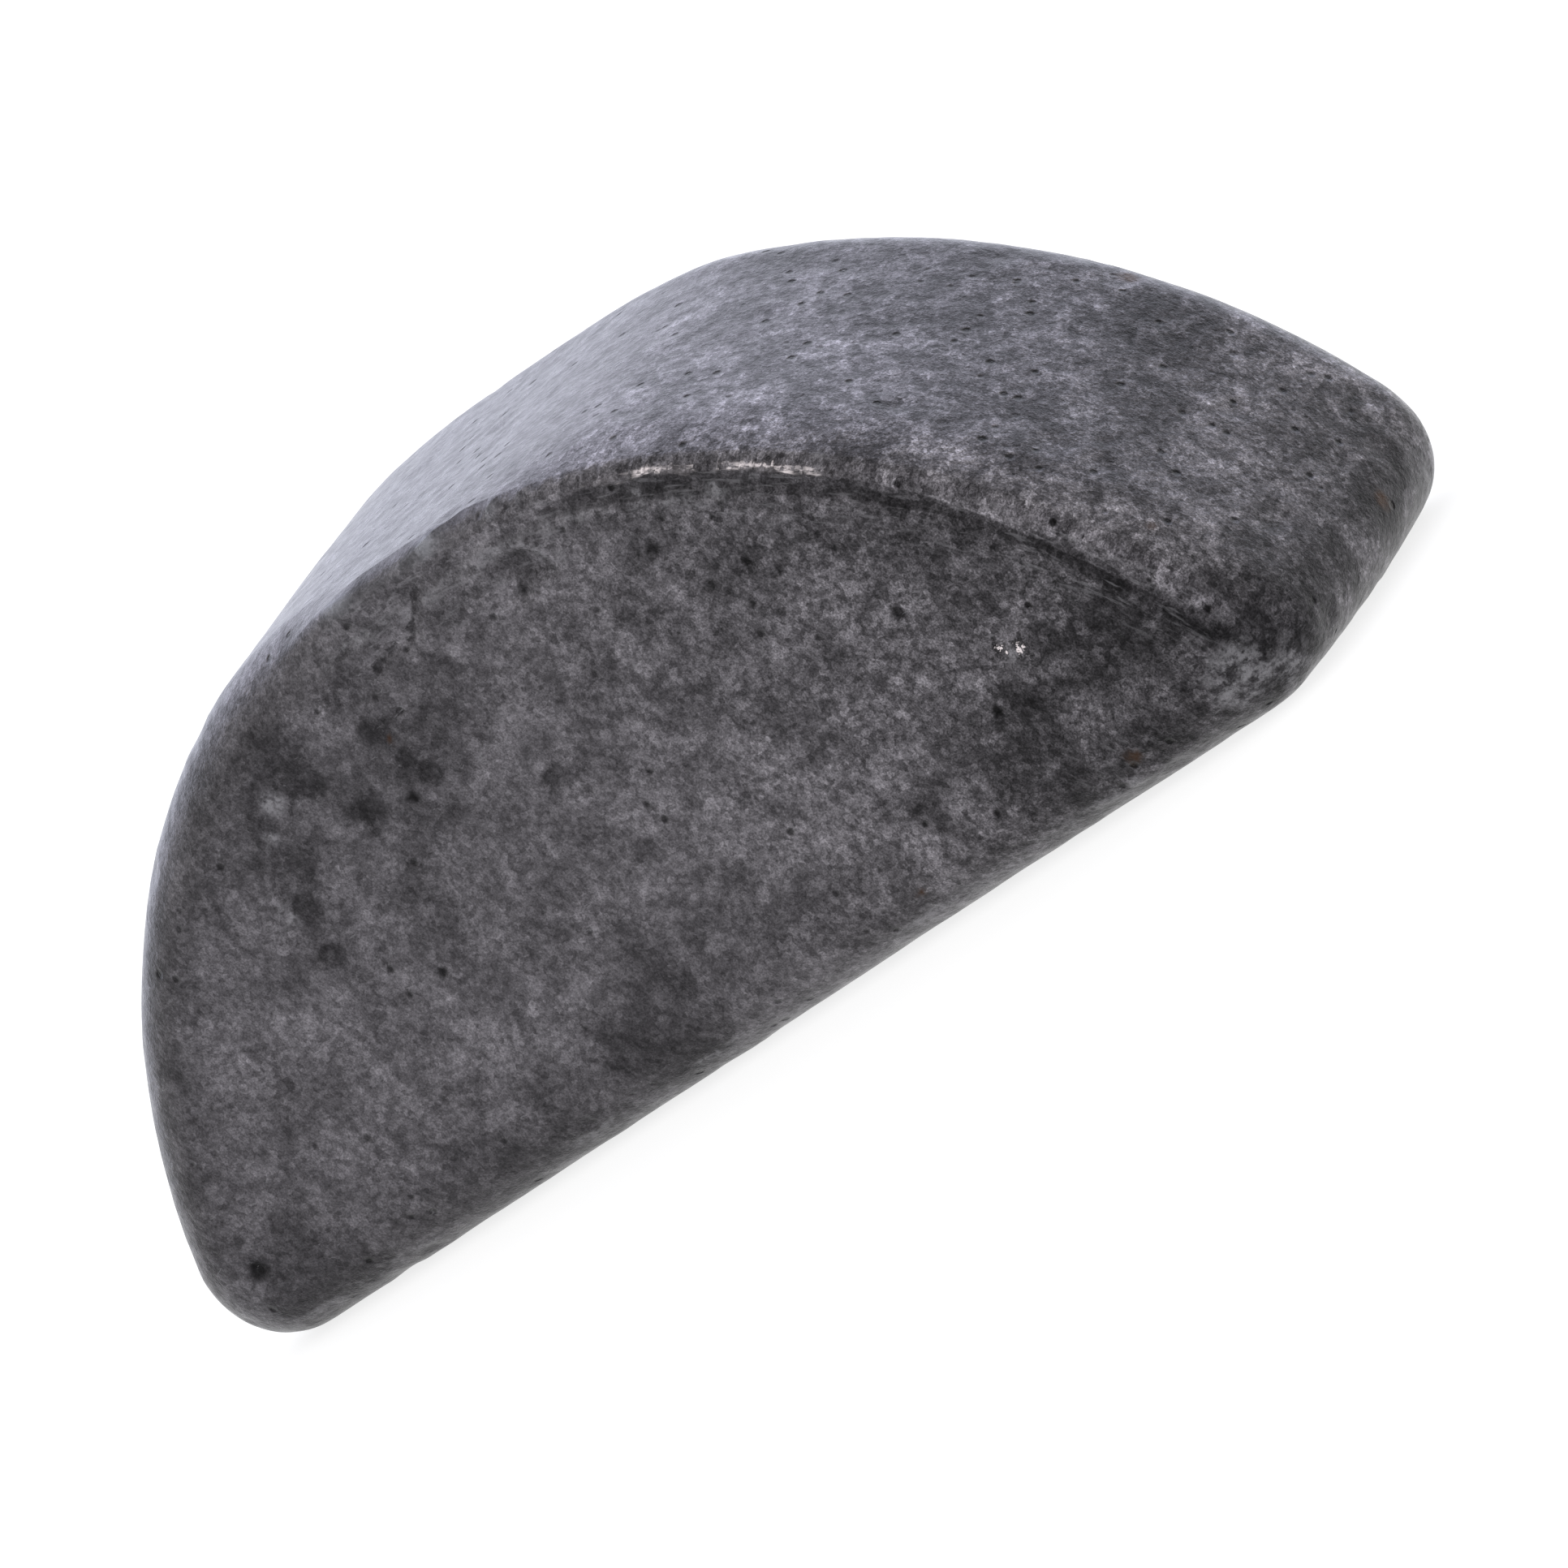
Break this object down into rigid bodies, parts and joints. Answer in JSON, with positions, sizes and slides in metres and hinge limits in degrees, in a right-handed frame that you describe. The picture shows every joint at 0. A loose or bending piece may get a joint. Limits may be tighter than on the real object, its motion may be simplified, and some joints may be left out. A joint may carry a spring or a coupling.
{
  "type": "half-moon key",
  "caption": "Half-moon (Woodruff) shaft key: a thick disc segment with a straight seat face, a small flat on its round belly and tumbled edges.",
  "frame": {"origin": "middle of the straight seat face, at the centre of the key's length and width", "axes": "+X along the key, +Y across its width, +Z from the straight seat face towards the round belly"},
  "size_m": [0.012, 0.004, 0.005],
  "materials": {
    "tumbled_steel": "dark grey tumbled steel, dull and finely mottled, with a few burnished edges and rust specks"
  },
  "bodies": {
    "root": {"half_moon_key": "tumbled_steel"}
  },
  "joints": []
}
